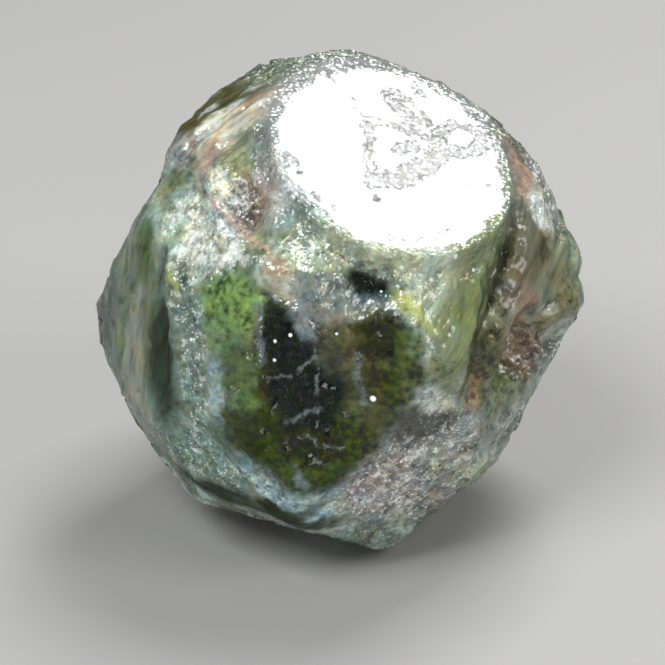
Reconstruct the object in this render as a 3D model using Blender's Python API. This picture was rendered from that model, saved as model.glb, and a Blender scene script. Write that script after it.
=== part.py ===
"""A raw grossular: one green garnet crystal about 36 mm across, rounded, pitted and chipped.

The stone is one solid. Its form is what lies inside a set of crystal faces. Smaller crystals that
grew on it the same way round stand out of it, and others that grew against it left their prints.
Ribs, grooves, growth steps and growth lines are laid on that form, and the underside is flat
where the stone rests.

Azimuth 0 faces -Y and turns towards +X. Elevation is up from the horizon. Both are in degrees
about the middle of the crystal, and the lengths in the lists below are in millimetres.
"""

import math

import bmesh
import bpy
import numpy as np
from mathutils import Matrix, Vector, noise

MM = 0.001
REST_DEPTH = 17.3  # from the middle of the crystal down to the ground
MEAN_RADIUS = 17.3
EDGE_ROUNDING = 0.9  # the edges between the faces are worn by this much
SMALL_ROUNDING = 0.35  # the same, where a small crystal or a print meets the stone
WAVE_HEIGHT = 0.13  # the faces are uneven by this much
WAVE_LENGTH = 5.0
FINE_LEVEL = 7
TRIANGLES = 9300

# Each face: azimuth and elevation it looks towards, and its distance from the middle.
FACES = {
    "mirror": (28, 65, 15.3),
    "window": (-6, 4, 16.2),
    "leaf_window": (-23, 14, 16.7),
    "band": (4, 36, 16.9),
    "shoulder": (-20, 52, 16.5),
    "frosted_left": (-48, 40, 16.0),
    "slab_left": (-62, 6, 16.2),
    "low_left": (-62, -25, 17.2),
    "far_left": (-103, 24, 15.8),
    "far_left_low": (-90, -12, 17.5),
    "roof_left": (-85, 62, 17.5),
    "roof_far_left": (-123, 45, 17.7),
    "green_right": (41, 24, 16.9),
    "right": (71, 12, 17.0),
    "far_right": (91, 2, 17.5),
    "granular": (23, -22, 16.0),
    "low_right": (72, -24, 15.8),
    "pit_face": (48, -8, 16.2),
    "under_right": (64, -43, 16.4),
    "front_left": (-43, 6, 16.7),
    "front_low_left": (-36, -19, 16.8),
    "under_left": (-28, -58, 17.3),
    "top_back": (-160, 66, 18.3),
    "top_back_right": (135, 58, 17.7),
    "top_right": (114, 40, 17.1),
    "upper_right": (103, 26, 17.3),
    "roof_right": (63, 42, 17.3),
    "back": (178, 24, 17.2),
    "back_low": (172, -32, 16.6),
    "back_right": (128, -6, 16.9),
    "back_left": (-128, -4, 16.6),
    "back_low_left": (-112, -42, 16.6),
    "back_low_right": (120, -47, 16.8),
    "back_up_left": (-150, 38, 17.6),
    "underside": (0, -90, 17.6),
}

# Each small crystal that stands out: azimuth and elevation, how far its middle is from the
# stone's, and its size as a share of the stone.
GROWTHS = {
    "knob_right_upper": (79, 16, 14.9, 0.21),
    "knob_right_lower": (75, 7, 14.6, 0.22),
    "slab": (-87, -3, 7.6, 0.60),
    "knob_upper_left": (-84, 49, 13.4, 0.27),
    "stain_ledge": (94, 37, 9.8, 0.46),
    "pale_rim": (54, -33, 11.6, 0.32),
    "back_knob": (-148, 12, 12.5, 0.35),
    "back_knob_low": (-158, 2, 14.2, 0.22),
    "back_ledge": (114, -18, 9.6, 0.50),
    "top_back_plate": (176, 56, 8.7, 0.54),
    "low_left_ledge": (-96, -28, 9.3, 0.50),
}

# Each print: azimuth and elevation, how far the middle of the crystal that left it was from
# the stone's, its size as a share of the stone, and how far it was turned.
PRINTS = {
    "cavity": (7, 27, 18.2, 0.115, 20),
    "cavity_side": (11, 26, 18.3, 0.09, 70),
    "brown_pit_top": (-38, 47, 17.2, 0.10, 0),
    "brown_pit_middle": (-34, 43, 17.3, 0.12, 30),
    "brown_pit_low": (-29, 39, 17.6, 0.105, 60),
    "red_pit": (53, 3, 18.2, 0.19, 15),
    "red_pit_low": (47, -2, 17.7, 0.12, 50),
    "under_knob": (67, -4, 18.6, 0.16, 40),
    "under_knob_left": (-86, 36, 18.8, 0.16, 10),
    "back_socket": (166, 6, 20.4, 0.30, 25),
    "back_pit": (136, 22, 18.6, 0.16, 60),
    "low_back_pit": (-162, -34, 18.9, 0.20, 15),
    "left_back_pit": (-112, 20, 17.6, 0.15, 45),
    "right_back_pit": (104, 4, 19.2, 0.16, 5),
}

# Each soft hollow: azimuth and elevation of its middle, half width, half height, turn in
# degrees, depth, and how soft its edge is.
HOLLOWS = {
    "window": (-4, 9, 6.3, 6.5, 0, 0.45, 0.35),
    "left_back": (-122, 14, 4.0, 2.6, 30, 0.6, 0.6),
}

# Each rib or groove: its path in azimuth and elevation, half its width, and how far it stands
# out (below zero for a groove).
LINES = {
    "brown_rib": ([(-66, 55), (-54, 48), (-44, 40), (-30, 35), (-18, 30)], 0.8, 0.5),
    "left_ridge": ([(-66, 31), (-50, 21), (-45, 9), (-45, -4), (-54, -18)], 0.8, 0.35),
    "left_valley": ([(-58, 22), (-53, 10), (-51, 0), (-52, -12)], 1.0, -0.7),
    "right_valley": ([(60, 34), (52, 28), (43, 20), (37, 9), (34, -4)], 0.9, -0.8),
    "strip_valley": ([(-58, -47), (-30, -46), (-8, -50)], 1.1, -0.5),
    "back_valley": ([(-158, 52), (-172, 32), (176, 14)], 1.0, -0.8),
    "back_rib": ([(118, 38), (134, 10), (150, -6), (156, -24)], 0.9, 0.45),
    "left_back_valley": ([(-104, 42), (-114, 22), (-118, 0), (-122, -22)], 0.9, -0.6),
}

# Growth steps on a face: turn in degrees, spacing and height.
STEPS = {
    "roof_left": (118, 1.7, 0.45),
    "roof_far_left": (100, 1.9, 0.40),
    "back": (25, 2.2, 0.40),
    "back_left": (-18, 2.0, 0.35),
    "top_right": (60, 1.8, 0.35),
    "low_right": (35, 2.3, 0.30),
}

# Growth lines on a face: turn in degrees, spacing and depth.
FURROWS = {
    "slab_left": (0, 1.5, 0.24),
    "far_left_low": (-6, 1.7, 0.22),
    "green_right": (18, 1.6, 0.24),
    "right": (14, 1.9, 0.22),
    "back_right": (8, 1.8, 0.26),
    "back_up_left": (-30, 1.9, 0.24),
}


def direction(azimuth, elevation):
    """The unit vector that looks this way from the middle of the crystal."""
    a, e = math.radians(azimuth), math.radians(elevation)
    return np.array([math.sin(a) * math.cos(e), -math.cos(a) * math.cos(e), math.sin(e)])


def ramp(value, low, high):
    """0 below low, 1 above high and a smooth rise between them."""
    t = np.clip((value - low) / (high - low), 0, 1)
    return t * t * (3 - 2 * t)


def lesser(a, b, rounding):
    """The smaller of two reaches, with the corner where they cross rounded off."""
    nearness = np.maximum(rounding - np.abs(a - b), 0) / rounding
    return np.minimum(a, b) - nearness**2 * rounding / 4


def greater(a, b, rounding):
    return -lesser(-a, -b, rounding)


def reaches_to_faces(rays):
    """How far each ray runs before it meets the plane of each face, one column per face."""
    normals = np.array([direction(azimuth, elevation) for azimuth, elevation, _ in FACES.values()])
    distances = np.array([distance for _, _, distance in FACES.values()])
    facing = rays @ normals.T
    return np.where(facing > 0.15, distances / np.maximum(facing, 0.15), 1000)


def reach_of_faces(reaches):
    """How far each ray runs before it leaves the crystal, with the edges rounded."""
    nearest = np.sort(reaches, axis=1)[:, :5]
    reach = nearest[:, 0]
    for other in nearest[:, 1:].T:
        reach = lesser(reach, other, EDGE_ROUNDING)
    return reach


def small_crystal(rays, azimuth, elevation, away, size, turn=0):
    """A small copy of the crystal: how far each ray runs to its near side and to its far side."""
    near_side = np.full(len(rays), -1000.0)
    far_side = np.full(len(rays), 1000.0)
    middle = direction(azimuth, elevation) * away
    for face_azimuth, face_elevation, distance in FACES.values():
        normal = direction(face_azimuth + turn, face_elevation)
        plane = size * distance + normal @ middle
        facing = rays @ normal
        ahead, behind = facing > 0.02, facing < -0.02
        far_side[ahead] = np.minimum(far_side[ahead], plane / facing[ahead])
        near_side[behind] = np.maximum(near_side[behind], plane / facing[behind])
    return near_side, far_side


def across(rays, azimuth, elevation, turn):
    """Where each ray passes in a plane that touches the stone at this place: along the width
    and along the height of what is there, and whether it is on this side of the stone."""
    a, e, t = math.radians(azimuth), math.radians(elevation), math.radians(turn)
    east = np.array([math.cos(a), math.sin(a), 0])
    north = np.array([-math.sin(a) * math.sin(e), math.cos(a) * math.sin(e), math.cos(e)])
    u, v = MEAN_RADIUS * rays @ east, MEAN_RADIUS * rays @ north
    near = rays @ direction(azimuth, elevation) > 0
    return u * math.cos(t) + v * math.sin(t), v * math.cos(t) - u * math.sin(t), near


def hollow(rays, azimuth, elevation, half_width, half_height, turn, depth, softness):
    u, v, near = across(rays, azimuth, elevation, turn)
    outwards = np.hypot(u / half_width, v / half_height)
    return np.where(near, -depth * (1 - ramp(outwards, 1 - softness, 1 + softness)), 0)


def line(rays, path, half_width, height):
    points = rays * MEAN_RADIUS
    stops = [direction(azimuth, elevation) * MEAN_RADIUS for azimuth, elevation in path]
    away = np.full(len(rays), 1000.0)
    for start, end in zip(stops, stops[1:]):
        run = end - start
        t = np.clip((points - start) @ run / (run @ run), 0, 1)
        away = np.minimum(away, np.linalg.norm(points - start - t[:, None] * run, axis=1))
    return height * (1 - ramp(away, 0, 2 * half_width))


def inside_face(reaches, name):
    """1 well inside a face, 0 outside it, and a fade near its edges."""
    column = list(FACES).index(name)
    others = np.delete(reaches, column, axis=1).min(axis=1)
    return ramp(others - reaches[:, column], 0.1, 0.9)


def steps(rays, reaches, name, turn, spacing, height):
    """Ledges that each rise slowly and drop off sharply."""
    u, v, _ = across(rays, *FACES[name][:2], turn)
    place = (v / spacing + 0.25 * np.sin(0.6 * u + 1)) % 1
    rise = np.where(place < 0.75, place / 0.75, (1 - place) / 0.25)
    return inside_face(reaches, name) * height * (rise - 0.5)


def furrows(rays, reaches, name, turn, spacing, depth):
    """Lines that run along the face's height, unevenly spaced."""
    u, v, _ = across(rays, *FACES[name][:2], turn)
    phase = 2 * math.pi * u / spacing + 0.8 * np.sin(0.45 * v) + 0.9 * np.sin(1.3 * u)
    return inside_face(reaches, name) * depth / 2 * np.sin(phase)


def waves(rays, reaches):
    """The unevenness of every face but the mirror, which is flat."""
    places = rays * MEAN_RADIUS / WAVE_LENGTH
    height = np.array([noise.fractal(Vector(place), 1.0, 2.2, 3) for place in places])
    return WAVE_HEIGHT * height * (1 - inside_face(reaches, "mirror"))


def reach(rays):
    """How far the stone reaches along each ray, in millimetres."""
    reaches = reaches_to_faces(rays)
    total = reach_of_faces(reaches)
    for name, shape in STEPS.items():
        total += steps(rays, reaches, name, *shape)
    for name, shape in FURROWS.items():
        total += furrows(rays, reaches, name, *shape)
    for shape in GROWTHS.values():
        _, far_side = small_crystal(rays, *shape)
        total = greater(total, far_side, SMALL_ROUNDING)
    for shape in LINES.values():
        total += line(rays, *shape)
    for shape in HOLLOWS.values():
        total += hollow(rays, *shape)
    for shape in PRINTS.values():
        near_side, _ = small_crystal(rays, *shape)
        this_side = rays @ direction(*shape[:2]) > 0.8
        total = np.where(this_side, lesser(total, near_side, SMALL_ROUNDING), total)
    return total + waves(rays, reaches)


def fine_stone():
    """The stone as a fine round mesh pushed out to its reach, with its middle at REST_DEPTH."""
    bm = bmesh.new()
    bmesh.ops.create_icosphere(bm, subdivisions=FINE_LEVEL, radius=1)
    rays = np.array([vert.co.normalized()[:] for vert in bm.verts])
    places = rays * reach(rays)[:, None] + (0, 0, REST_DEPTH)
    for vert, place in zip(bm.verts, places):
        vert.co = Vector(place) * MM
    mesh = bpy.data.meshes.new("fine_stone")
    bm.to_mesh(mesh)
    bm.free()
    return mesh


def thinned(mesh, triangles):
    """The mesh with fewer triangles: large ones on the flats, small ones where it bends."""
    stone = bpy.data.objects.new("fine_stone", mesh)
    bpy.context.collection.objects.link(stone)
    fewer = stone.modifiers.new("fewer triangles", "DECIMATE")
    fewer.ratio = triangles / len(mesh.polygons)
    graph = bpy.context.evaluated_depsgraph_get()
    result = bpy.data.meshes.new_from_object(stone.evaluated_get(graph))
    bpy.data.objects.remove(stone)
    return result


def cut_flat(mesh):
    """Cuts the stone at the ground and closes it with the one flat face it rests on."""
    bm = bmesh.new()
    bm.from_mesh(mesh)
    everything = bm.verts[:] + bm.edges[:] + bm.faces[:]
    cut = bmesh.ops.bisect_plane(bm, geom=everything, plane_co=(0, 0, 0), plane_no=(0, 0, 1), clear_inner=True)
    rim = [part for part in cut["geom_cut"] if isinstance(part, bmesh.types.BMEdge)]
    bmesh.ops.edgeloop_fill(bm, edges=rim)
    bmesh.ops.triangulate(bm, faces=bm.faces[:])
    bmesh.ops.recalc_face_normals(bm, faces=bm.faces[:])
    bm.to_mesh(mesh)
    bm.free()


def stand_over_origin(mesh):
    """Moves the stone sideways, so that the middle of its box stands over the origin."""
    corners = np.array([vert.co[:] for vert in mesh.vertices])
    middle = (corners.min(axis=0) + corners.max(axis=0)) / 2
    mesh.transform(Matrix.Translation((-middle[0], -middle[1], 0)))


def crystal_material():
    material = bpy.data.materials.new("frosted green garnet")
    material.use_nodes = True
    surface = material.node_tree.nodes["Principled BSDF"]
    surface.inputs["Base Color"].default_value = (0.13, 0.18, 0.07, 1)
    surface.inputs["Roughness"].default_value = 0.42
    surface.inputs["Metallic"].default_value = 0
    surface.inputs["IOR"].default_value = 1.74
    return material


for old in list(bpy.data.objects):
    bpy.data.objects.remove(old)

stone_mesh = thinned(fine_stone(), TRIANGLES)
cut_flat(stone_mesh)
stand_over_origin(stone_mesh)
stone_mesh.name = "grossular_crystal"
stone_mesh.materials.append(crystal_material())
crystal = bpy.data.objects.new("grossular_crystal", stone_mesh)
bpy.context.collection.objects.link(crystal)
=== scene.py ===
import math
from functools import reduce

import bpy
from mathutils import Matrix, Vector


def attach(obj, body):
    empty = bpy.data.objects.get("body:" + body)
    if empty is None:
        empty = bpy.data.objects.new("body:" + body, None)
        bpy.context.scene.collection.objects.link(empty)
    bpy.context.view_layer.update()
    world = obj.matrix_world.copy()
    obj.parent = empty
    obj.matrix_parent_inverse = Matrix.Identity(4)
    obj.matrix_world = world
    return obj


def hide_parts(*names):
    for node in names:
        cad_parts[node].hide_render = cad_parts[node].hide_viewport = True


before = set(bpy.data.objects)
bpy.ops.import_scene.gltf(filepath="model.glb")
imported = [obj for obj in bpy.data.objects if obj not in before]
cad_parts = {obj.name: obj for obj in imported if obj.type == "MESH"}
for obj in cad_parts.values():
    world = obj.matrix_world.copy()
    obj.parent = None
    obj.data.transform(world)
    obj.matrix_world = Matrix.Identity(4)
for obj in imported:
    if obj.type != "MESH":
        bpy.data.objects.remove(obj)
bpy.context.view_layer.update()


# The studio: a plain pale floor, the camera, and four square soft lights. The reflection of
# the overhead one fills the crystal's glossy face, and the others stand at the front left,
# at the right and low in front.

MM = 0.001
# the middle of the crystal, from which its faces are set out
MIDDLE = Vector((0.22, -1.38, 17.3)) * MM
VIEW_ELEVATION = 25
PHOTO_PIXEL = 0.075 * MM
PHOTO_PIXELS = 665
LENS = 150
SENSOR = 36
MIDDLE_SHOWS_AT = (340, 300)  # in the photograph's pixels
CAMERA_AWAY = PHOTO_PIXELS * PHOTO_PIXEL / SENSOR * LENS


def direction(azimuth, elevation):
    """The unit vector that looks this way, azimuth 0 facing -Y and turning towards +X."""
    a, e = math.radians(azimuth), math.radians(elevation)
    return Vector((math.sin(a) * math.cos(e), -math.cos(a) * math.cos(e), math.sin(e)))


def facing(forward):
    """The turn that points an object's -Z along forward with its top up."""
    return (-forward).to_track_quat("Z", "Y").to_matrix().to_4x4()


back_to_camera = direction(0, VIEW_ELEVATION)
up_in_view = direction(0, VIEW_ELEVATION - 90) * -1
aim = MIDDLE.copy()
aim.x -= (MIDDLE_SHOWS_AT[0] - PHOTO_PIXELS / 2) * PHOTO_PIXEL
aim -= up_in_view * (PHOTO_PIXELS / 2 - MIDDLE_SHOWS_AT[1]) * PHOTO_PIXEL
camera_data = bpy.data.cameras.new("camera")
camera_data.lens = LENS
camera_data.sensor_width = SENSOR
camera_data.clip_start = 10 * MM
camera = bpy.data.objects.new("camera", camera_data)
camera_stands = Matrix.Translation(aim + back_to_camera * CAMERA_AWAY)
camera.matrix_world = camera_stands @ facing(-back_to_camera)
bpy.context.collection.objects.link(camera)
bpy.context.scene.camera = camera


def soft_light(name, azimuth, elevation, away, side, radiance, colour):
    """A square soft light that looks at the crystal. Its radiance is what a mirror would show."""
    data = bpy.data.lights.new(name, "AREA")
    data.shape = "SQUARE"
    data.size = side
    data.energy = radiance * math.pi * side * side
    data.color = colour
    light = bpy.data.objects.new(name, data)
    looks = direction(azimuth, elevation)
    light.matrix_world = Matrix.Translation(MIDDLE + looks * away) @ facing(-looks)
    bpy.context.collection.objects.link(light)


# Each light: its azimuth, elevation and distance as seen from the crystal, its side, its
# radiance and its colour, with lengths in metres.
LIGHTS = {
    "overhead_light": (142, 62, 0.42, 0.20, 13.0, (1, 1, 1)),
    "front_light": (-35, 50, 0.50, 0.22, 12.0, (0.97, 0.99, 1)),
    "right_light": (55, 38, 0.50, 0.20, 6.0, (1, 0.99, 0.97)),
    "low_light": (6, 9, 0.55, 0.20, 6.0, (1, 1, 1)),
}
for name, light in LIGHTS.items():
    soft_light(name, *light)

world = bpy.data.worlds.new("studio")
world.use_nodes = True
surroundings = world.node_tree.nodes["Background"].inputs
surroundings["Color"].default_value = (0.86, 0.88, 0.90, 1)
surroundings["Strength"].default_value = 0.20
bpy.context.scene.world = world
bpy.context.scene.view_settings.view_transform = "Standard"

FLOOR_SIDE = 3.0
floor_mesh = bpy.data.meshes.new("floor")
side = FLOOR_SIDE / 2
corners = [(-side, -side, 0), (side, -side, 0), (side, side, 0), (-side, side, 0)]
floor_mesh.from_pydata(corners, [], [(0, 1, 2, 3)])
floor_object = bpy.data.objects.new("floor", floor_mesh)
bpy.context.collection.objects.link(floor_object)
floor_material = bpy.data.materials.new("pale paper")
floor_material.use_nodes = True
floor_surface = floor_material.node_tree.nodes["Principled BSDF"]
floor_surface.inputs["Base Color"].default_value = (0.36, 0.355, 0.345, 1)
floor_surface.inputs["Roughness"].default_value = 0.9
floor_mesh.materials.append(floor_material)


# The crystal: one raw grossular, a green garnet that grew as one piece under a frosted and
# iron-stained skin, and that rests on its own flat underside. The solid gives its faces. The
# fine relief of the skin, its colours and its partly clear windows are added here.

CELLS = 126  # along each side of each of the six patches that wrap the stone
REACH = 60 * MM  # how far from the middle the solid's surface is looked for
MEAN_RADIUS = 17.3
MIRROR_LOOKS = (28, 65)  # azimuth and elevation of the glossy face
MIRROR_PLANE = 15.3  # how far it is from the middle, in millimetres
# on the face: the middle of its oval, its half width, half height and turn
MIRROR_OVAL = (0.55, -0.3, 8.0, 9.0, -4)
MIRROR_BELOW = (2.4, 1.9)  # how deep under its plane a place has left it, and begins to
RING_HALF_WIDTH = 0.20
PLACE_EDGE = 0.32  # how soft the edge of a coloured place is, as a share of its size
PATCH_EDGE = 0.3  # and of a streaked or crusted one
NEAR_SIDE = 2  # millimetres over which a place fades in on its own side of the stone
STREAK_STRETCH = 0.85  # how much of the way along the streaks is taken out of a pattern
LINE_EDGE = (0.2, 1.9)  # a line fades between these shares of its half width
GARNET_IOR = 1.74
POLISH = 0.05  # the roughness of the glass and of the glossy face
MEAN_COLOUR = (0.5, 0.5, 0.5)  # of a noise or of random cells

COLOURS = {
    "frost": (0.36, 0.44, 0.39),
    "white frost": (0.58, 0.61, 0.56),
    "bright frost": (0.72, 0.74, 0.72),
    "blue frost": (0.14, 0.20, 0.165),
    "pale blue frost": (0.32, 0.48, 0.54),
    "sea frost": (0.15, 0.255, 0.22),
    "teal": (0.036, 0.060, 0.053),
    "grey green": (0.125, 0.165, 0.115),
    "grey": (0.085, 0.080, 0.055),
    "pale grey": (0.27, 0.265, 0.275),
    "pale green": (0.31, 0.36, 0.24),
    "pale mint": (0.40, 0.46, 0.34),
    "band green": (0.16, 0.19, 0.085),
    "tan green": (0.30, 0.30, 0.17),
    "olive grey": (0.15, 0.155, 0.10),
    "yellow green": (0.32, 0.37, 0.135),
    "leaf": (0.137, 0.235, 0.076),
    "green": (0.055, 0.10, 0.025),
    "moss": (0.027, 0.041, 0.007),
    "olive": (0.034, 0.036, 0.008),
    "dark olive": (0.018, 0.021, 0.007),
    "dark green": (0.015, 0.022, 0.014),
    "roof olive": (0.060, 0.056, 0.018),
    "black green": (0.006, 0.010, 0.008),
    "sandy": (0.50, 0.44, 0.34),
    "pink": (0.42, 0.31, 0.25),
    "stain pink": (0.33, 0.22, 0.18),
    "orange": (0.34, 0.215, 0.125),
    "rust": (0.19, 0.12, 0.09),
    "brown": (0.20, 0.15, 0.125),
    "veil": (0.18, 0.21, 0.19),
    "blue veil": (0.17, 0.21, 0.22),
    "vein": (0.17, 0.195, 0.21),
    # painted highlights of small bubbles and grains
    "bubble": (0.85, 0.87, 0.85),
    # painted shade along the groove
    "painted groove shade": (0.03, 0.035, 0.02),
    "crack": (0.02, 0.022, 0.02),
    # white flakes of the frost, partly painted sparkle
    "flake": (0.66, 0.70, 0.66),
    # painted glints: white dots that stand in for the lamps' reflections
    "glint": (0.90, 0.92, 0.90),
    "crust hole": (0.035, 0.02, 0.014),
    "rim grey": (0.205, 0.21, 0.21),
    "etched grey": (0.24, 0.245, 0.25),
    "etched tan": (0.235, 0.205, 0.17),
    "etched edge": (0.11, 0.112, 0.115),
}

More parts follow.
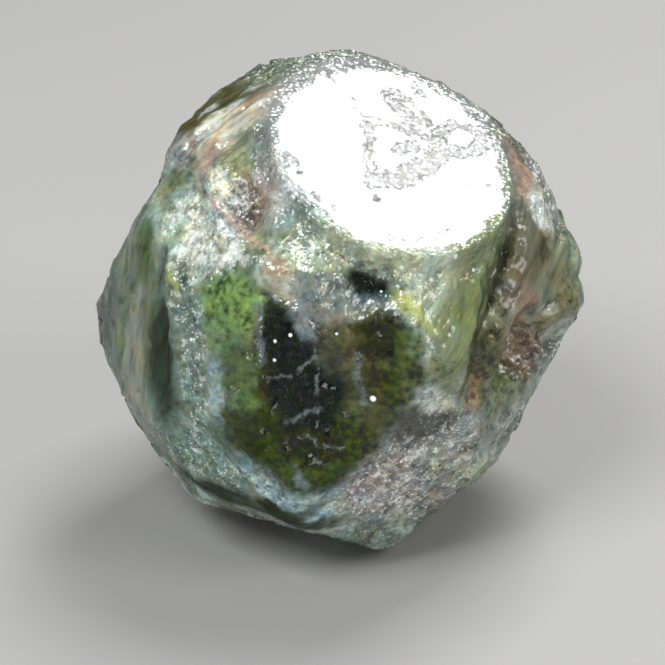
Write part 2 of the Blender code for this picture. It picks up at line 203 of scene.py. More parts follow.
# Each place on the stone: its colour, how far the colour covers, how clear the stone is there
# (at 0.15 all skin and at 0.85 all glass), how frosted it is, its azimuth and elevation, half
# width, half height, and turn.
PLACES = {
    "right side": ("olive grey", 0.90, 0.08, 0.2, 52, 14, 6.5, 9.0, -30),
    "left side": ("grey green", 0.65, 0.08, 0.35, -70, 0, 6.0, 10.0, 0),
    "roof outer strip": ("roof olive", 0.97, 0.05, 0.15, -100, 61, 5.6, 3.4, -42),
    "roof striae": ("sandy", 0.85, 0.04, 0.45, -68, 63, 4.2, 1.7, -88),
    "roof ridge": ("white frost", 0.60, 0.03, 0.6, -78, 57, 3.2, 0.7, -68),
    # painted glints, in the white frost colour, here and on the next line
    "roof glint": ("white frost", 0.55, 0.03, 0.4, -95, 57, 1.4, 0.4, -27),
    "roof glint high": ("white frost", 0.45, 0.03, 0.4, -100, 69, 1.6, 0.4, -75),
    "roof rust": ("rust", 0.50, 0.05, 0.3, -79, 70, 1.9, 0.9, -64),
    "upper left knob": ("pale grey", 0.60, 0.15, 0.5, -77, 47, 1.5, 1.4, 0),
    "white shoulder": ("bright frost", 0.95, 0.03, 1.0, -24, 55, 2.0, 2.5, 4),
    "olive shoulder": ("tan green", 0.85, 0.10, 0.2, -47, 53, 1.5, 2.1, 36),
    "frosted left": ("frost", 0.95, 0.03, 1.0, -50, 38, 3.6, 3.4, 23),
    "frosted left low": ("white frost", 0.75, 0.03, 1.0, -44, 33, 3.4, 1.6, 10),
    "white in the frost": ("white frost", 0.80, 0.03, 1.0, -57, 36, 1.6, 0.6, 12),
    "white by the leaf": ("white frost", 0.80, 0.03, 1.0, -34, 32, 2.1, 0.6, 0),
    "olive edge": ("band green", 0.80, 0.10, 0.3, -72, 41, 1.4, 0.8, 63),
    "yellow in the frost": ("yellow green", 0.40, 0.10, 0.3, -38, 23, 1.2, 0.6, 15),
    "green in the frost": ("leaf", 0.45, 0.10, 0.4, -57, 31, 0.7, 1.5, 10),
    "band": ("pale green", 0.85, 0.06, 0.45, -3, 37, 5.6, 2.0, -4),
    "band left": ("pink", 0.65, 0.10, 0.5, -30, 47, 1.8, 2.4, 35),
    "band grey green": ("grey green", 0.75, 0.10, 0.4, -15, 41, 1.8, 1.4, 5),
    "blue by the pit": ("pale blue frost", 0.45, 0.08, 0.5, -21, 43, 1.2, 1.1, 0),
    "slab": ("grey green", 0.90, 0.08, 0.25, -69, -2, 3.6, 8.0, -4),
    "slab green": ("green", 0.75, 0.20, 0.2, -66, 24, 1.1, 2.6, 20),
    "slab green low": ("green", 0.35, 0.10, 0.2, -72, -6, 0.6, 5.0, -4),
    "slab pink": ("sandy", 0.22, 0.05, 0.3, -64, -3, 1.4, 5.0, -4),
    "slab rim": ("teal", 0.92, 0.08, 0.4, -82, -3, 2.2, 5.4, 4),
    "left frost": ("blue frost", 0.85, 0.08, 0.80, -41, 4, 1.6, 5.2, 4),
    "low left frost": ("sea frost", 0.80, 0.06, 0.85, -43, -20, 4.4, 5.4, 4),
    "low middle frost": ("pale blue frost", 1.00, 0.04, 0.95, -12, -28, 5.4, 2.0, -24),
    # painted shade: the stripe places darken the valley at the left
    "stripe shade": ("grey green", 0.60, 0.08, 0.2, -51, -1, 2.6, 5.8, 8),
    "dark stripe left": ("grey green", 0.70, 0.05, 0.2, -58, 2, 1.0, 5.6, 6),
    "dark stripe": ("dark green", 0.85, 0.05, 0.12, -51, 0, 2.3, 4.9, 6),
    "yellow sliver": ("yellow green", 0.70, 0.05, 0.2, -48, 21, 0.22, 1.1, 52),
    "bottom strip": ("dark olive", 0.85, 0.08, 0.12, -30, -36, 7.2, 0.9, 5),
    "bottom strip low": ("dark olive", 0.75, 0.08, 0.12, -13, -36, 3.8, 0.7, -22),
    "right band": ("band green", 0.90, 0.10, 0.25, 36, 27, 2.6, 4.2, -48),
    "right band dark": ("green", 0.30, 0.12, 0.2, 37, 19, 1.3, 3.0, -38),
    "right band leaf": ("leaf", 0.30, 0.10, 0.2, 48, 32, 1.6, 1.2, -30),
    "right band pale": ("pale mint", 0.85, 0.05, 0.4, 23, 28, 2.2, 2.4, -30),
    "right band low": ("band green", 0.85, 0.15, 0.2, 28, 12, 1.9, 3.2, -24),
    "right band low pale": ("pale green", 0.15, 0.10, 0.3, 25, 15, 0.9, 2.0, -14),
    "right band top": ("pale green", 0.30, 0.05, 0.3, 51, 35, 1.5, 1.0, -15),
    "right grey": ("grey", 0.85, 0.10, 0.2, 57, 25, 2.0, 4.4, -58),
    "right olive": ("olive", 0.75, 0.25, 0.1, 68, 24, 0.9, 1.5, -70),
    "right knob": ("olive grey", 0.80, 0.15, 0.15, 72, 14, 2.4, 3.4, -24),
    "knob rim": ("pale green", 0.60, 0.10, 0.2, 77, 17, 0.6, 1.4, -32),
    "knob under": ("pale grey", 0.50, 0.08, 0.4, 71, 0, 1.6, 1.2, 50),
    "knob lump": ("white frost", 0.45, 0.05, 0.4, 63, 9, 0.9, 0.5, -21),
    # painted shade along the groove
    "painted groove shade": ("dark olive", 0.85, 0.25, 0.1, 49, 24, 0.35, 4.4, -47),
    "pink round the pit": ("pink", 0.35, 0.08, 0.2, 52, 7, 1.9, 3.2, 0),
    "red pit": ("rust", 0.80, 0.08, 0.6, 57, -1, 3.0, 1.9, -21),
    "pit above": ("rust", 0.65, 0.05, 0.5, 57, 13, 0.7, 0.7, 0),
    "brown right": ("rust", 0.50, 0.10, 0.2, 54, 14, 1.0, 2.4, 10),
    "olive pit": ("olive", 0.80, 0.30, 0.2, 38, 5, 1.9, 2.4, -13),
    "under olive": ("green", 0.60, 0.25, 0.3, 46, -7, 2.5, 2.4, 36),
    "amber": ("orange", 0.45, 0.20, 0.2, 36, -5, 0.7, 1.7, 0),
    "granular": ("pale grey", 0.95, 0.05, 1.0, 20, -25, 5.6, 5.6, 20),
    "granular grey": ("dark olive", 0.88, 0.15, 0.6, 21, -10, 2.5, 2.1, 0),
    "granular pink": ("pink", 0.35, 0.04, 1.0, 14, -32, 3.0, 3.0, 23),
    "granular white": ("white frost", 0.90, 0.03, 1.0, 20, -1, 2.7, 1.0, -28),
    "granular right": ("pale green", 0.40, 0.10, 0.9, 34, -27, 2.0, 3.8, 37),
    "pale rim": ("pale green", 0.30, 0.20, 0.2, 50, -33, 1.5, 3.0, 40),
    "brown low": ("rust", 0.35, 0.06, 0.6, 38, -43, 1.6, 2.4, 42),
    "tip": ("blue frost", 0.55, 0.15, 0.6, 10, -48, 3.0, 2.2, -24),
    "upper right stain": ("stain pink", 0.85, 0.05, 0.35, 79, 41, 1.2, 2.8, -54),
    "upper right rust": ("rust", 0.55, 0.05, 0.3, 82, 47, 0.9, 0.8, -32),
    "upper right edge": ("grey", 0.75, 0.05, 0.6, 98, 42, 3.0, 4.6, -50),
    "upper right grey": ("pale grey", 0.55, 0.05, 1.0, 86, 33, 1.6, 2.8, -30),
    # painted sparkle, in the white frost colour
    "right sparkle": ("white frost", 0.65, 0.05, 1.0, 74, 30, 1.7, 1.5, -50),
    "window": ("olive", 0.97, 0.25, 0.05, -6, 3, 7.2, 6.8, 0),
    "window foot": ("moss", 0.97, 0.25, 0.05, -9, -14, 4.3, 3.9, 0),
    # painted glow: the leaf-green patches and the left glow of the window stand for light passing
    # through the clear stone
    "leaf patch": ("leaf", 0.97, 0.22, 0.18, -29, 21, 2.5, 2.4, 12),
    "leaf patch low": ("leaf", 0.55, 0.15, 0.3, -31, 13, 1.3, 1.6, 6),
    "left glow upper": ("green", 0.70, 0.18, 0.25, -25, 6, 1.6, 2.1, 4),
    "left glow": ("moss", 0.60, 0.20, 0.1, -25, -13, 2.5, 3.2, -29),
    "green spot": ("leaf", 0.45, 0.15, 0.1, -24, -3, 1.1, 0.8, 4),
    "moss bottom": ("leaf", 0.12, 0.20, 0.1, -7, -19, 3.4, 1.1, 0),
    "black lobe": ("black green", 1.00, 0.30, 0.0, -15, 12, 1.8, 3.1, 22),
    "dark centre": ("black green", 1.00, 0.30, 0.0, -5, 2, 2.1, 4.0, 0),
    "dark left of centre": ("black green", 0.95, 0.30, 0.0, -12, 1, 2.1, 2.2, 0),
    "dark low": ("black green", 0.95, 0.30, 0.0, -9, -9, 2.1, 1.3, 0),
    "dark foot": ("dark olive", 0.90, 0.30, 0.0, -6, -14, 2.6, 1.2, 0),
    "olive cloud": ("olive grey", 0.30, 0.20, 0.15, -1, 12, 1.8, 2.4, 0),
    "mist right of centre": ("olive grey", 0.18, 0.15, 0.1, 4, 3, 1.1, 2.8, 0),
    "olive low right": ("olive grey", 0.22, 0.15, 0.1, 6, -6, 1.8, 1.3, -8),
    "dark right": ("dark olive", 0.95, 0.28, 0.0, 10, 15, 1.8, 1.7, 0),
    "green in the dark": ("green", 0.65, 0.20, 0.1, 16, 13, 0.9, 1.5, 0),
    "moss right low": ("moss", 0.80, 0.25, 0.1, 15, 4, 1.4, 2.0, 0),
    "moss right": ("moss", 0.80, 0.30, 0.1, 4, -12, 1.7, 1.7, 0),
    "cloud": ("veil", 0.88, 0.05, 0.34, -6, 25, 2.9, 1.7, -16),
    "tan cloud": ("sandy", 0.38, 0.05, 0.4, -14, 27, 1.1, 0.9, 6),
    "blue cloud": ("blue veil", 0.90, 0.05, 0.3, -10, 19, 0.8, 1.7, 30),
    "blue cloud right": ("veil", 0.60, 0.05, 0.32, 1, 23, 1.9, 0.9, -10),
    "cloud by the hole": ("blue veil", 0.75, 0.06, 0.5, 8, 24, 1.2, 0.6, -20),
    "side veil": ("pale blue frost", 0.40, 0.08, 0.5, -31, -2, 0.7, 2.6, 6),
    "rust in the cloud": ("rust", 0.35, 0.10, 0.2, -2, 19, 1.2, 0.25, 47),
    "veil by the lobe": ("blue veil", 0.50, 0.05, 0.3, -21, 14, 0.35, 2.3, 8),
    "low fleck": ("blue veil", 0.60, 0.10, 0.4, -10, -21, 0.5, 0.9, 20),
    # painted glow of light passing through the shoulder
    "crescent": ("yellow green", 0.85, 0.05, 0.2, 18, 21, 2.2, 0.55, -50),
    # painted shade: black inside the cavity
    "hole": ("black green", 1.00, 0.25, 0.0, 7, 28, 1.7, 0.95, -30),
    "brown pit": ("brown", 0.90, 0.10, 0.8, -38, 45, 1.5, 2.2, 30),
    "rib top": ("sandy", 0.80, 0.03, 0.5, -60, 50, 3.1, 0.42, -13),
    "rib pale": ("white frost", 0.75, 0.03, 0.6, -52, 48, 0.6, 1.3, 24),
    "rib orange": ("pink", 0.85, 0.05, 0.4, -31, 38, 3.2, 0.34, -24),
    "rib white": ("white frost", 0.90, 0.02, 0.9, -49, 46, 0.8, 0.45, -11),
    "tan under the ridge": ("pink", 0.55, 0.05, 0.4, -63, 50, 0.8, 1.9, 23),
    "rib by the pit": ("pink", 0.85, 0.05, 0.4, -43, 41, 2.2, 0.40, -20),
    # painted highlight on the rib
    "rib painted highlight": ("white frost", 0.80, 0.03, 0.8, -46, 46, 0.6, 0.4, 37),
    "rib red top": ("rust", 0.50, 0.05, 0.3, -62, 54, 0.3, 0.9, 48),
    "rib red edge": ("rust", 0.60, 0.05, 0.3, -28, 49, 0.3, 1.8, -14),
    "rib foot": ("orange", 0.75, 0.05, 0.3, -17, 31, 0.9, 0.7, 9),
    "top": ("grey green", 0.70, 0.20, 0.8, -150, 72, 5.0, 4.0, 20),
    "top stain": ("sandy", 0.60, 0.05, 0.5, 150, 62, 3.6, 1.6, 30),
    "back window": ("moss", 0.95, 0.45, 0.1, 158, -14, 4.6, 3.6, 20),
    "back window dark": ("black green", 0.90, 0.60, 0.0, 156, -13, 2.6, 2.2, 10),
    "back window leaf": ("leaf", 0.80, 0.15, 0.1, 170, -16, 1.8, 2.0, 0),
    "back frost": ("frost", 0.80, 0.04, 1.0, 178, 26, 5.4, 3.4, 10),
    "back socket": ("rust", 0.65, 0.08, 0.7, 166, 6, 3.0, 2.2, 25),
    "back pit": ("brown", 0.75, 0.10, 0.7, 136, 22, 1.8, 1.8, 0),
    "back right slab": ("grey green", 0.85, 0.15, 0.3, 124, -4, 5.0, 6.0, 8),
    "back right streak": ("green", 0.75, 0.20, 0.2, 116, 0, 1.0, 5.0, 8),
    "back right dark": ("dark olive", 0.85, 0.40, 0.1, 108, 22, 1.6, 3.6, 20),
    "back left window": ("olive", 0.90, 0.40, 0.1, -122, 2, 3.6, 4.6, -20),
    "back left dark": ("black green", 0.80, 0.60, 0.0, -121, 0, 1.8, 2.6, -20),
    "back left frost": ("blue frost", 0.80, 0.05, 1.0, -148, 14, 4.0, 4.0, 0),
    "back left stain": ("sandy", 0.65, 0.06, 0.5, -112, 22, 1.8, 2.4, 0),
    "low back": ("pale grey", 0.80, 0.08, 1.0, -165, -36, 5.0, 3.2, 0),
    "low back stain": ("rust", 0.55, 0.08, 0.7, -162, -34, 2.2, 1.8, 0),
    "low back right": ("blue frost", 0.80, 0.06, 0.9, 118, -42, 5.0, 3.4, 0),
    "far left": ("olive", 0.60, 0.25, 0.3, -104, -20, 2.0, 4.2, -6),
    "under": ("frost", 0.60, 0.06, 0.9, 0, -88, 7.0, 6.0, 0),
    "under dark": ("dark olive", 0.80, 0.40, 0.1, -60, -70, 2.8, 2.6, 0),
    "under stain": ("rust", 0.50, 0.06, 0.6, 50, -64, 3.4, 1.6, 30),
}

# Where the skin is streaked: azimuth and elevation, half width, half height, turn, and the
# turn of the streaks.
STREAKED = {
    "slab": (-67, 2, 4.6, 10.0, 0, -2),
    "roof": (-78, 67, 4.4, 6.4, 10, 8),
    "right band": (36, 25, 3.6, 6.0, -40, -47),
    "right": (60, 22, 3.6, 5.5, -50, -60),
    "back right": (122, -2, 5.5, 8.0, 8, 8),
    "back left": (-112, 0, 4.5, 8.0, 0, -12),
    "bottom strip": (-24, -38, 7.0, 1.6, -8, 84),
}

# Where the skin is a pitted iron crust: azimuth and elevation, half width, half height, turn.
CRUSTED = {
    "brown pit": (-38, 45, 1.6, 2.4, 30),
    "red pit": (57, 0, 3.0, 2.2, -21),
    "back socket": (166, 6, 3.0, 2.4, 25),
    "back pit": (136, 22, 1.8, 1.8, 0),
    "low back": (-162, -34, 2.4, 2.0, 0),
    "cavity": (8, 30, 1.2, 0.8, 0),
}


class Value:
    """A socket that can be used in an expression, which adds the Math nodes it needs."""

    def __init__(self, graph, socket):
        self.graph, self.socket = graph, socket

    def math(self, operation, *others, clamp=False):
        settings = {"operation": operation, "use_clamp": clamp}
        return self.graph.node("ShaderNodeMath", settings, dict(enumerate((self, *others))))

    def __add__(self, other):
        return self.math("ADD", other)

    def __sub__(self, other):
        return self.math("SUBTRACT", other)

    def __mul__(self, other):
        return self.math("MULTIPLY", other)

    def __rsub__(self, other):
        return self.graph.node("ShaderNodeMath", {"operation": "SUBTRACT"}, {0: other, 1: self})

    __radd__, __rmul__ = __add__, __mul__

    def output(self, name):
        """Another output of the same node."""
        return Value(self.graph, self.socket.node.outputs[name])

    def vector(self, operation, other=None, output=0):
        inputs = {0: self} if other is None else {0: self, 3 if operation == "SCALE" else 1: other}
        return self.graph.node("ShaderNodeVectorMath", {"operation": operation}, inputs, output)

    def ramp(self, low, high, to_low=0.0, to_high=1.0):
        """A smooth step from to_low at low to to_high at high."""
        settings = {"interpolation_type": "SMOOTHSTEP", "data_type": "FLOAT"}
        inputs = {0: self, 1: low, 2: high, 3: to_low, 4: to_high}
        return self.graph.node("ShaderNodeMapRange", settings, inputs)

    def most(self, other):
        return self.math("MAXIMUM", other)

    def least(self, other):
        return self.math("MINIMUM", other)


class Graph:
    """Adds nodes to a node tree."""

    def __init__(self, tree):
        self.tree = tree

    def node(self, kind, settings=None, inputs=None, output=0):
        """Adds a node, sets it, then fills its sockets with values or links."""
        node = self.tree.nodes.new(kind)
        for name, value in (settings or {}).items():
            setattr(node, name, value)
        for key, value in (inputs or {}).items():
            if isinstance(value, Value):
                self.tree.links.new(value.socket, node.inputs[key])
            else:
                node.inputs[key].default_value = value
        return Value(self, node.outputs[output])

    def noise(self, place, scale, detail=2.0, roughness=0.5, output=0):
        inputs = {"Vector": place, "Scale": scale, "Detail": detail, "Roughness": roughness}
        return self.node("ShaderNodeTexNoise", {"normalize": True}, inputs, output)

    def cells(self, place, scale, output=0):
        inputs = {"Vector": place, "Scale": scale}
        return self.node("ShaderNodeTexVoronoi", {"feature": "F1"}, inputs, output)

    def facets(self, place, scale):
        """The height of small flat facets that lean every way, one in each cell."""
        lean = self.cells(place, scale, output=1)
        away = place.vector("SUBTRACT", lean.output("Position"))
        return lean.vector("SUBTRACT", MEAN_COLOUR).vector("DOT_PRODUCT", away, 1)

    def scaled(self, vector, length):
        """A fixed vector times a value."""
        settings = {"operation": "SCALE"}
        return self.node("ShaderNodeVectorMath", settings, {0: tuple(vector), 3: length})

    def mix(self, share, a, b):
        """Colour a where share is 0 and colour b where it is 1."""
        a = (*a, 1) if isinstance(a, tuple) else a
        b = (*b, 1) if isinstance(b, tuple) else b
        settings = {"data_type": "RGBA", "clamp_factor": True}
        return self.node("ShaderNodeMix", settings, {0: share, 6: a, 7: b}, 2)


def axes(azimuth, elevation, turn=0):
    """The axes of a plane that touches the stone at this azimuth and elevation: along its
    width, along its height, and outwards."""
    a, e, t = math.radians(azimuth), math.radians(elevation), math.radians(turn)
    east = Vector((math.cos(a), math.sin(a), 0))
    north = Vector((-math.sin(a) * math.sin(e), math.cos(a) * math.sin(e), math.cos(e)))
    width = east * math.cos(t) + north * math.sin(t)
    height = north * math.cos(t) - east * math.sin(t)
    return width, height, direction(azimuth, elevation)


def on_face(points):
    """Places on the glossy face, right and up from its middle, as places from the crystal's."""
    across, up, out = axes(*MIRROR_LOOKS)
    return [across * u + up * v + out * MIRROR_PLANE for u, v in points]


def on_ball(points):
    """Azimuths and elevations as places on the ball of the mean radius."""
    return [direction(*point) * MEAN_RADIUS for point in points]


def patch(place, azimuth, elevation, half_width, half_height, turn):
    """1 in the middle of an oval patch of the stone, fading to 0 at its edge."""
    across, up, out = axes(azimuth, elevation, turn)
    u = place.vector("DOT_PRODUCT", across / half_width, 1)
    v = place.vector("DOT_PRODUCT", up / half_height, 1)
    outwards = (u * u + v * v).math("SQRT")
    near_side = place.vector("DOT_PRODUCT", out, 1).ramp(0, NEAR_SIDE)
    return outwards.ramp(1 - PATCH_EDGE, 1 + PATCH_EDGE, 1, 0) * near_side


def on_mirror(place, middle_u, middle_v, half_width, half_height, turn):
    """How far a place is from the middle of an oval on the glossy face, with 1 at its edge, and
    2 everywhere below the face."""
    across, up, out = axes(*MIRROR_LOOKS)
    here = place.vector("SUBTRACT", across * middle_u + up * middle_v)
    across, up, out = axes(*MIRROR_LOOKS, turn)
    u = here.vector("DOT_PRODUCT", across / half_width, 1)
    v = here.vector("DOT_PRODUCT", up / half_height, 1)
    low, high = (MIRROR_PLANE - depth for depth in MIRROR_BELOW)
    below = place.vector("DOT_PRODUCT", out, 1).ramp(low, high, 2, 0)
    return (u * u + v * v).math("SQRT").most(below)


def wandering(g, place, scale, reach):
    """A place moved by up to reach in each direction, which gives what is drawn rough edges."""
    away = g.noise(place, scale, 3, 0.6, 1).vector("SUBTRACT", MEAN_COLOUR)
    return place.vector("ADD", away.vector("SCALE", 2 * reach))


def stretched(place, streaks):
    """A place pressed together along the streaks, which draws a pattern out along them."""
    along = place.vector("DOT_PRODUCT", streaks, 1) * STREAK_STRETCH
    return place.vector("SUBTRACT", streaks.vector("SCALE", along))


def line_group(kind):
    """A node group that gives how far a point is from a straight line between two others."""
    tree = bpy.data.node_groups.new("distance to a line", kind)
    for name in ("Point", "Start", "Run", "Share"):
        tree.interface.new_socket(name, in_out="INPUT", socket_type="NodeSocketVector")
    tree.interface.new_socket("Distance", in_out="OUTPUT", socket_type="NodeSocketFloat")
    g = Graph(tree)
    inputs = tree.nodes.new("NodeGroupInput")
    point, start, run, share = (Value(g, socket) for socket in inputs.outputs[:4])
    away = point.vector("SUBTRACT", start)
    along = away.vector("DOT_PRODUCT", share, 1).math("ADD", 0, clamp=True)
    distance = away.vector("SUBTRACT", run.vector("SCALE", along)).vector("LENGTH", output=1)
    output = tree.nodes.new("NodeGroupOutput")
    tree.links.new(distance.socket, output.inputs[0])
    return tree


def distance_to_path(g, group, place, points):
    """How far a place is from the nearest of the straight lines between these points."""
    kind = "GeometryNodeGroup" if group.bl_idname == "GeometryNodeTree" else "ShaderNodeGroup"
    nearest = None
    for start, end in zip(points, points[1:]):
        run = end - start
        one = g.node(kind, {"node_tree": group}, {
            "Point": place, "Start": start, "Run": run, "Share": run / run.length_squared})
        nearest = one if nearest is None else nearest.least(one)
    return nearest


def drawn(g, group, place, points, half_width):
    """1 on a line through these points, fading to 0 at its edges."""
    full, gone = (half_width * share for share in LINE_EDGE)
    return distance_to_path(g, group, place, points).ramp(full, gone, 1, 0)


# Where the glossy face is etched dull: points on it right and up from its middle, in
# millimetres, with half the width of the mark, and then the ovals that are etched as rings,
# each with its middle, half width, half height and turn.
MIRROR_MARKS = (
    ([(0.3, 3.1), (-1.0, 0.3), (-2.2, -2.5)], 0.30),
    ([(-0.1, -2.5), (2.0, -1.9), (4.2, -0.9)], 0.80),
    ([(0.2, 3.1), (1.6, 3.0), (2.8, 2.2), (4.0, 0.9)], 0.28),
    ([(1.2, 0.4), (2.6, 0.2)], 0.40),
    ([(3.6, 4.4), (4.1, 2.8)], 0.24),
    ([(5.0, 1.1), (6.7, 1.5)], 0.36),
    ([(8.2, 0.3), (7.3, -0.9), (5.6, -1.3), (4.7, 0.1)], 0.38),
    ([(5.7, 6.1), (5.7, 5.0)], 0.20),
    ([(-6.7, 1.9), (-6.6, 0.9)], 0.10),
    ([(-6.7, -0.1), (-6.7, -0.2)], 0.10),
    ([(-6.5, -2.2), (-6.5, -2.7)], 0.12),
    ([(-5.9, -3.8), (-5.8, -3.9)], 0.12),
    ([(-2.3, -3.4), (-2.3, -3.7)], 0.18),
    ([(-1.8, -2.6), (-0.9, -2.6)], 0.30),
)
MIRROR_RINGS = (
    (6.3, 0.1, 1.9, 1.3, -20),
    (3.9, 3.9, 0.75, 1.7, 16),
)


def place_group():
    """A node group that paints one oval place: its tint, how clear it is, and its frost."""
    tree = bpy.data.node_groups.new("place on the stone", "GeometryNodeTree")
    for name, kind in (
        ("Point", "NodeSocketVector"),
        ("Across", "NodeSocketVector"),
        ("Up", "NodeSocketVector"),
        ("Out", "NodeSocketVector"),
        ("Tint", "NodeSocketColor"),
        ("See", "NodeSocketFloat"),
        ("Frost", "NodeSocketFloat"),
        ("Colour", "NodeSocketColor"),
        ("Cover", "NodeSocketFloat"),
        ("Sees", "NodeSocketFloat"),
        ("Frosted", "NodeSocketFloat"),
    ):
        tree.interface.new_socket(name, in_out="INPUT", socket_type=kind)
    for name, kind in (
        ("Tint", "NodeSocketColor"),
        ("See", "NodeSocketFloat"),
        ("Frost", "NodeSocketFloat"),
    ):
        tree.interface.new_socket(name, in_out="OUTPUT", socket_type=kind)
    g = Graph(tree)
    inputs = tree.nodes.new("NodeGroupInput")
    point, across, up, out, tint, see, frost, colour, cover, sees, frosted = (
        Value(g, socket) for socket in inputs.outputs[:11])
    u = point.vector("DOT_PRODUCT", across, 1)
    v = point.vector("DOT_PRODUCT", up, 1)
    outwards = (u * u + v * v).math("SQRT")
    near_side = point.vector("DOT_PRODUCT", out, 1).ramp(0, NEAR_SIDE)
    mask = outwards.ramp(1 - PLACE_EDGE, 1 + PLACE_EDGE, 1, 0) * near_side
    output = tree.nodes.new("NodeGroupOutput")
    tree.links.new(g.mix(mask * cover, tint, colour).socket, output.inputs[0])
    tree.links.new((see + (sees - see) * mask).socket, output.inputs[1])
    tree.links.new((frost + (frosted - frost) * mask).socket, output.inputs[2])
    return tree


def relief_tree():
    """Wraps a fine mesh round the solid, gives it the skin's relief and marks its places."""
    tree = bpy.data.node_groups.new("crystal skin", "GeometryNodeTree")
    for name, kind in (
        ("Solid", "NodeSocketObject"),
        ("Cells", "NodeSocketInt"),
        ("Middle", "NodeSocketVector"),
        ("Relief", "NodeSocketFloat"),
        ("Material", "NodeSocketMaterial"),
    ):
        tree.interface.new_socket(name, in_out="INPUT", socket_type=kind)
    tree.interface.new_socket("Geometry", in_out="OUTPUT", socket_type="NodeSocketGeometry")
    g = Graph(tree)
    inputs = tree.nodes.new("NodeGroupInput")
    solid_name, cells, middle, relief, material = (
        Value(g, socket) for socket in inputs.outputs[:5])

    # six patches of even squares, bulged to a ball and laid on the solid
    side = cells + 1
    cube = g.node("GeometryNodeMeshCube", {}, {"Size": (2, 2, 2), 1: side, 2: side, 3: side})
    here = g.node("GeometryNodeInputPosition")
    ray = here.vector("SCALE", math.pi / 4).vector("TANGENT").vector("NORMALIZE")
    solid = g.node("GeometryNodeObjectInfo", {"transform_space": "ORIGINAL"}, {0: solid_name}, 4)
    cast = g.node("GeometryNodeRaycast", {}, {"Target Geometry": solid, "Source Position": middle,
                                              "Ray Direction": ray, "Ray Length": REACH}, 1)
    shape = g.node("GeometryNodeSetPosition", {}, {"Geometry": cube, "Position": cast})
    smooth = g.node("GeometryNodeBlurAttribute", {"data_type": "FLOAT_VECTOR"},
                    {"Value": g.node("GeometryNodeInputPosition"), "Iterations": 2})
    shape = g.node("GeometryNodeSetPosition", {}, {"Geometry": shape, "Position": smooth})

    # millimetres from the middle, and the same pushed to a ball of the mean radius
    place = g.node("GeometryNodeInputPosition").vector("SUBTRACT", middle).vector("SCALE", 1 / MM)
    ball = place.vector("NORMALIZE").vector("SCALE", MEAN_RADIUS)
    loose = wandering(g, wandering(g, ball, 0.4, 0.9), 1.5, 0.45)
    mirror_looks = direction(*MIRROR_LOOKS)
    height = place.vector("DOT_PRODUCT", tuple(mirror_looks), 1)
    from_face = on_mirror(place, *MIRROR_OVAL)
    face, rim = from_face.ramp(1.07, 1.13, 1, 0), from_face.ramp(1.12, 1.34, 1, 0)

    # the skin between the places, and then the places on it
    broad = g.noise(place, 0.20, 2, 0.5)
    tint = g.mix(broad.ramp(0.42, 0.58), COLOURS["blue frost"], COLOURS["grey green"])
    tint = g.mix(g.noise(place, 0.34, 2, 0.5).ramp(0.52, 0.66), tint, COLOURS["frost"])
    see = g.noise(place, 0.5, 2, 0.5).ramp(0.5, 0.7, 0.05, 0.25)
    frost = g.noise(place, 0.28, 2, 0.5).ramp(0.4, 0.6, 0.3, 0.8)
    group = place_group()
    for colour, cover, sees, frosted, *where, half_width, half_height, turn in PLACES.values():
        across, up, out = axes(*where, turn)
        tint = g.node("GeometryNodeGroup", {"node_tree": group}, {
            "Point": loose, "Across": across / half_width, "Up": up / half_height, "Out": out,
            "Tint": tint, "See": see, "Frost": frost,
            "Colour": (*COLOURS[colour], 1), "Cover": cover, "Sees": sees, "Frosted": frosted})
        see, frost = tint.output("See"), tint.output("Frost")

    # which way the streaks run, where the glossy face is etched, and where the crust is
    streaks, streaked = None, None
    for *where, streak_turn in STREAKED.values():
        along, here = axes(where[0], where[1], streak_turn)[1], patch(ball, *where)
        if streaks is None:
            streaks, streaked = (here * 0).vector("ADD", tuple(along)), here
            continue
        stronger = here.math("GREATER_THAN", streaked)
        streaks = streaks.vector("SCALE", 1 - stronger).vector("ADD", g.scaled(along, stronger))
        streaked = streaked.most(here)
    streaks = streaks.vector("SCALE", streaked.math("GREATER_THAN", 0.5))
    group = line_group("GeometryNodeTree")
    marks = reduce(Value.least, [
        distance_to_path(g, group, place, on_face(points)) - half_width
        for points, half_width in MIRROR_MARKS
    ] + [
        (on_mirror(place, *oval) - 1).math("ABSOLUTE") * min(oval[2:4]) - RING_HALF_WIDTH
        for oval in MIRROR_RINGS
    ])
    crust = reduce(Value.most, [patch(loose, *where) for where in CRUSTED.values()])

    # the relief of the skin, in millimetres
    run = stretched(place, streaks)
    skin = (1 - face) * see.ramp(0.2, 0.45, 1, 0.2)
    rough = 1 - streaked * 0.8
    ledges = (g.facets(place, 0.50) * 0.24 + g.facets(place, 1.15) * 0.10 * frost) * rough
    grain = (g.noise(place, 1.8, 3, 0.6) - 0.5) * (frost * 0.14 + 0.05) * rough
    pits = g.cells(place, 0.5).ramp(0.10, 0.36, 1, 0) * g.noise(place, 0.3).ramp(0.5, 0.62)
    furrows = (g.noise(run, 0.8, 3, 0.5) - 0.5) * streaked * 0.8
    holes = g.cells(place, 0.95).ramp(0.15, 0.6, 1, 0) * crust * 0.6
    raised = (ledges + grain - pits * 0.25 + furrows - holes) * skin * relief * MM
    offset = g.node("GeometryNodeInputNormal").vector("SCALE", raised)
    up_to_face = (MIRROR_PLANE - height).least(1.5) * face * MM
    offset = offset.vector("ADD", g.scaled(mirror_looks, up_to_face))
    shape = g.node("GeometryNodeSetPosition", {}, {"Geometry": shape, "Offset": offset})

    # nothing goes below the ground
    above = g.node("GeometryNodeInputPosition").vector("MAXIMUM", (-1, -1, 0))
    shape = g.node("GeometryNodeSetPosition", {}, {"Geometry": shape, "Position": above})

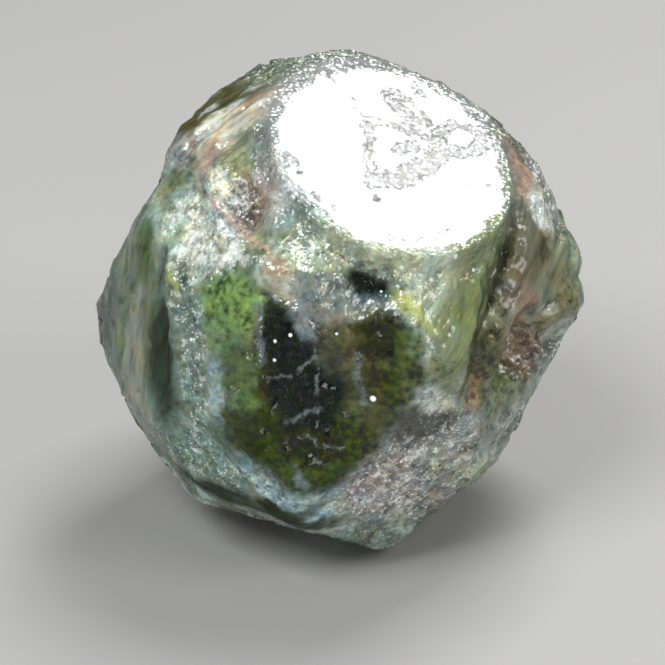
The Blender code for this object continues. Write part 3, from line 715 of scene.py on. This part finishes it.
    for name, kind, value in (
        ("tint", "FLOAT_COLOR", tint),
        ("streaks", "FLOAT_VECTOR", streaks),
        ("see", "FLOAT", see),
        ("frost", "FLOAT", frost),
        ("crust", "FLOAT", crust),
        ("marks", "FLOAT", marks),
        ("rim", "FLOAT", rim),
    ):
        shape = g.node("GeometryNodeStoreNamedAttribute", {"data_type": kind, "domain": "POINT"},
                       {"Geometry": shape, "Name": name, "Value": value})
    shape = g.node("GeometryNodeSetShadeSmooth", {}, {"Geometry": shape})
    shape = g.node("GeometryNodeRealizeInstances", {}, {"Geometry": shape})
    shape = g.node("GeometryNodeSetMaterial", {}, {"Geometry": shape, "Material": material})
    output = tree.nodes.new("NodeGroupOutput")
    tree.links.new(shape.socket, output.inputs[0])
    return tree


# Veils and cracks that show as fine pale lines in the window: azimuth and elevation of their
# points, then half their width in millimetres.
VEINS = (
    ([(-7, 13), (-6, 3), (-6, -5), (-6, -14)], 0.12),
    ([(-18, -15), (-12, -12), (-5, -13), (1, -14)], 0.10),
    ([(-18, 3), (-10, 6), (-7, 10)], 0.15),
    ([(-13, -8), (-9, -7), (-6, -4)], 0.24),
    ([(-6, -7), (-2, -11), (-4, -14)], 0.07),
    ([(5, 10), (4, 5), (5, -2)], 0.26),
    ([(-35, 8), (-32, 1), (-33, -7)], 0.12),
)

# Ridges and cracks of the skin, the groove's dark line being painted shade: azimuth and
# elevation of their points, half their width, how strong they are, and their colour.
SEAMS = (
    ([(62, 34), (54, 29), (47, 24), (39, 18), (34, 12)], 0.22, 0.8, "painted groove shade"),
    ([(-17, 35), (-10, 35), (-3, 36), (3, 33), (9, 30)], 0.12, 0.8, "crack"),
)

# Small bubbles and grains, painted white as the highlights on them: azimuth, elevation,
# and radius in millimetres.
BUBBLE_HIGHLIGHTS = (
    (-13, 15, 0.17),
    (-17, 13, 0.15),
    (-17, 8, 0.15),
    (-1, 16, 0.12),
    (8, -1, 0.24),
    (11, 26, 0.10),
    (31, 31, 0.16),
    (38, 27, 0.15),
    (47, 30, 0.12),
)

# Fine cracks of the glossy face: points right and up from its middle, and half their width.
MIRROR_LINES = (
    ([(-0.3, 8.6), (0.1, 6.6), (0.2, 4.2), (1.5, 3.5), (2.5, 2.2), (3.0, 0.8)], 0.12),
    ([(-3.4, -7.4), (-2.0, -8.3), (-0.4, -8.2), (1.2, -7.9)], 0.09),
    ([(3.2, -2.8), (4.5, -3.9), (7.0, -5.0)], 0.05),
    ([(2.3, -5.4), (3.0, -6.4)], 0.05),
)


def garnet_material():
    """Green garnet: glass where the stone is clear, blended with an opaque coloured skin that is
    frosted elsewhere, and a polished dark green under the gloss of the flat face."""
    material = bpy.data.materials.new("green garnet")
    material.use_nodes = True
    tree = material.node_tree
    tree.nodes.clear()
    g = Graph(tree)
    place = g.node("ShaderNodeTexCoord", output=3)
    place = place.vector("SUBTRACT", tuple(MIDDLE)).vector("SCALE", 1 / MM)
    tint = g.node("ShaderNodeAttribute", {"attribute_name": "tint"}, output=0)
    streaks = g.node("ShaderNodeAttribute", {"attribute_name": "streaks"}, output=1)
    see, frost, crust, marks, rim = (
        g.node("ShaderNodeAttribute", {"attribute_name": name}, output=2)
        for name in ("see", "frost", "crust", "marks", "rim")
    )
    run = stretched(place, streaks)
    coarse, fine = g.noise(run, 0.8, 3, 0.6), g.noise(run, 2.0, 2, 0.55)
    sway = g.noise(place, 0.6, 3, 0.7, 1).vector("SUBTRACT", MEAN_COLOUR)
    clear = see.ramp(0.15, 0.40)

    # the glossy face: its rough edge, its cracks, and where it is etched
    group = line_group("ShaderNodeTree")
    ragged = place.vector("ADD", sway.vector("SCALE", 2.4))
    edge = on_mirror(ragged, *MIRROR_OVAL)
    mirror = edge.ramp(0.99, 1.01, 1, 0)
    etched = reduce(Value.most, [
        drawn(g, group, ragged, on_face(points), half_width)
        for points, half_width in MIRROR_LINES
    ]) * fine.ramp(0.34, 0.50, 0.4, 1)
    marks = marks + (coarse - 0.5) * 1.6 + (fine - 0.5) * 0.9
    outline = marks.math("ABSOLUTE").ramp(0.03, 0.20, 1, 0)
    etched = etched.most(marks.ramp(-0.10, 0.12, 0.65, 0)).most(outline * 0.85)

    # fine pale lines and painted bubble highlights in the window, and the ridges, cracks and
    # painted groove shade of the skin
    ball = place.vector("NORMALIZE").vector("SCALE", MEAN_RADIUS)
    bent = ball.vector("ADD", sway.vector("SCALE", 1.8))
    veins = (coarse - 0.53).math("ABSOLUTE").ramp(0.0, 0.014, 0.35, 0) * clear
    for points, half_width in VEINS:
        line = drawn(g, group, bent, on_ball(points), half_width)
        veins = veins.most(line * fine.ramp(0.34, 0.54, 0.3, 0.9))
    seams = [
        (drawn(g, group, bent, on_ball(points), half_width) * strength, colour)
        for points, half_width, strength, colour in SEAMS
    ]
    bubble_highlights = reduce(Value.most, [
        ball.vector("SUBTRACT", direction(azimuth, elevation) * MEAN_RADIUS)
        .vector("LENGTH", output=1).ramp(radius * 0.6, radius * 1.2, 1, 0)
        for azimuth, elevation, radius in BUBBLE_HIGHLIGHTS
    ])

    # small facets: each cell leans its own way and has its own tone, and some get painted glints
    lean = g.cells(place, 2.1, output=1)
    lean_small = g.cells(place, 4.2, output=1)
    tilt = lean.vector("SUBTRACT", MEAN_COLOUR)
    tilt = tilt.vector("ADD", lean_small.vector("SUBTRACT", MEAN_COLOUR))
    tilt = tilt.vector("SCALE", frost.ramp(0.2, 1) * 0.60 + 0.04)
    faceted = g.node("ShaderNodeNewGeometry", output=1).vector("ADD", tilt).vector("NORMALIZE")
    tone = lean_small.vector("DOT_PRODUCT", (0.6, 0, 0), 1)
    tone = tone + lean.vector("DOT_PRODUCT", (0.4, 0, 0), 1)

    # the colour of the skin: warmer and cooler, mossy where it is clear, light and dark
    warmth = sway.vector("DOT_PRODUCT", (1, 0, 0), 1).ramp(-0.12, 0.12)
    cooler = tint.vector("MULTIPLY", (0.90, 1.0, 1.08))
    warmer = tint.vector("MULTIPLY", (1.10, 1.02, 0.84))
    skin = g.mix(warmth, cooler, warmer)
    mossy = (coarse * 0.5 + fine * 0.5).ramp(0.46, 0.58) * clear
    skin = g.mix(mossy * 0.6, skin, skin.vector("MULTIPLY", (1.4, 1.1, 0.6)))
    shade = (coarse - 0.5) * (clear * 2.4 + 1.6) + (fine - 0.5) * (clear * 4.0 + 1.5)
    shade = shade + (tone - 0.5) * frost * 0.6 + 1.0
    skin = skin.vector("SCALE", shade.most(0.10))
    for here, colour in seams:
        skin = g.mix(here * fine.ramp(0.32, 0.50, 0.4, 1), skin, COLOURS[colour])

    # white flakes with painted sparkle, painted shade in the gaps of the frost, holes of the crust,
    # and the face's grey rim
    flakes_and_sparkle = lean_small.vector("DOT_PRODUCT", (0, 0.14, 0), 1)
    flakes_and_sparkle = flakes_and_sparkle + lean.vector("DOT_PRODUCT", (0, 0.18, 0), 1)
    flakes_and_sparkle = flakes_and_sparkle + fine * 0.34 + coarse * 0.58 + frost.ramp(0.9, 1, 0, 0.03)
    flakes_and_sparkle = flakes_and_sparkle.ramp(0.68, 0.76) * frost.ramp(0.3, 1.0)
    skin = g.mix(flakes_and_sparkle * 0.9, skin, COLOURS["flake"])
    # painted shade: the gaps between the frost's grains are darkened to about a third
    painted_gap_shade = g.noise(place, 3.0, 2, 0.6).ramp(0.36, 0.46, 1, 0) * frost.ramp(0.4, 1.0)
    skin = g.mix(painted_gap_shade * 0.25, skin, skin.vector("SCALE", 0.35))
    hollow = lean.output("Distance")
    skin = g.mix(hollow.ramp(0.1, 0.45, 1, 0) * crust * 0.75, skin, COLOURS["crust hole"])
    top_side = place.vector("DOT_PRODUCT", tuple(axes(*MIRROR_LOOKS)[1]), 1).ramp(-5, 3, 0.15, 0.85)
    skin = g.mix(edge.ramp(1.10, 1.28, 1, 0) * top_side, skin, COLOURS["rim grey"])

    # painted glints, painted bubble highlights, veins, and the etched places of the glossy face
    painted_glint_cells = lean_small.vector("DOT_PRODUCT", (0, 0, 1), 1).ramp(0.6, 0.85)
    painted_glints = lean_small.output("Distance").ramp(0.14, 0.45, 1, 0) * painted_glint_cells
    skin = g.mix(painted_glints * frost.ramp(0.3, 1), skin, COLOURS["glint"])
    skin = g.mix(veins * 0.8, skin, COLOURS["vein"])
    skin = g.mix(bubble_highlights, skin, COLOURS["bubble"])
    dull = g.mix(coarse.ramp(0.44, 0.62), COLOURS["etched grey"], COLOURS["etched tan"])
    skin = g.mix(mirror, skin, g.mix(outline, dull, COLOURS["etched edge"]))

    # the frosted skin scatters light, and the skin of the clear places has next to no gloss
    blisters = hollow * (crust + rim) * -1.2
    bump = g.node("ShaderNodeBump", {}, {
        "Strength": 0.5, "Distance": 0.2 * MM, "Height": fine * 0.8 + blisters, "Normal": faceted})
    frosted = g.node("ShaderNodeBsdfPrincipled", {}, {
        "Base Color": skin, "Roughness": frost.ramp(0, 1, 0.14, 0.22), "IOR": GARNET_IOR,
        "Normal": bump, "Subsurface Weight": 0.5, "Subsurface Radius": (1, 1, 0.7),
        "Subsurface Scale": 0.35 * MM})
    inside = g.node("ShaderNodeBsdfPrincipled", {}, {
        "Base Color": skin, "Roughness": 0.4, "IOR": GARNET_IOR, "Specular IOR Level": 0.015,
        "Normal": bump})
    skins = g.node("ShaderNodeMixShader", {}, {0: frost.ramp(0.10, 0.30), 1: inside, 2: frosted})

    # the glass, the polished face, and how far the skin covers them
    glass = g.node("ShaderNodeBsdfPrincipled", {}, {
        "Base Color": (0.86, 0.95, 0.80, 1), "Roughness": POLISH, "IOR": GARNET_IOR,
        "Transmission Weight": 1.0})
    polished = g.node("ShaderNodeBsdfPrincipled", {}, {
        "Base Color": g.mix(coarse.ramp(0.35, 0.65), COLOURS["black green"], COLOURS["green"]),
        "Roughness": POLISH, "IOR": GARNET_IOR})
    glossy = g.node("ShaderNodeMixShader", {}, {0: mirror * 0.6, 1: glass, 2: polished})
    cover = (1 - see) + (fine - 0.5) * 0.9 + (coarse - 0.5) * 0.9
    share = cover.ramp(0.15, 0.85).most(veins * 0.8).most(bubble_highlights)
    share = share * (1 - mirror) + etched * mirror
    surface = g.node("ShaderNodeMixShader", {}, {0: share, 1: glossy, 2: skins})
    absorb = g.node("ShaderNodeVolumeAbsorption", {}, {
        "Color": (0.38, 0.62, 0.16, 1), "Density": 300.0})
    output = tree.nodes.new("ShaderNodeOutputMaterial")
    tree.links.new(surface.socket, output.inputs["Surface"])
    tree.links.new(absorb.socket, output.inputs["Volume"])
    return material


def baked(name, tree, values):
    """The result of a Geometry Nodes tree as a plain mesh object, with its inputs set first."""
    carrier = bpy.data.objects.new(name, bpy.data.meshes.new(name))
    bpy.context.collection.objects.link(carrier)
    modifier = carrier.modifiers.new(name, "NODES")
    modifier.node_group = tree
    for item in tree.interface.items_tree:
        if item.item_type == "SOCKET" and item.in_out == "INPUT" and item.name in values:
            modifier[item.identifier] = values[item.name]
    graph = bpy.context.evaluated_depsgraph_get()
    mesh = bpy.data.meshes.new_from_object(carrier.evaluated_get(graph))
    carrier.modifiers.remove(modifier)
    carrier.data = mesh
    return carrier


crystal = baked("crystal", relief_tree(), {
    "Solid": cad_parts["grossular_crystal"], "Cells": CELLS, "Middle": tuple(MIDDLE),
    "Relief": 1.0, "Material": garnet_material()})
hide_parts("grossular_crystal")
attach(crystal, "root")
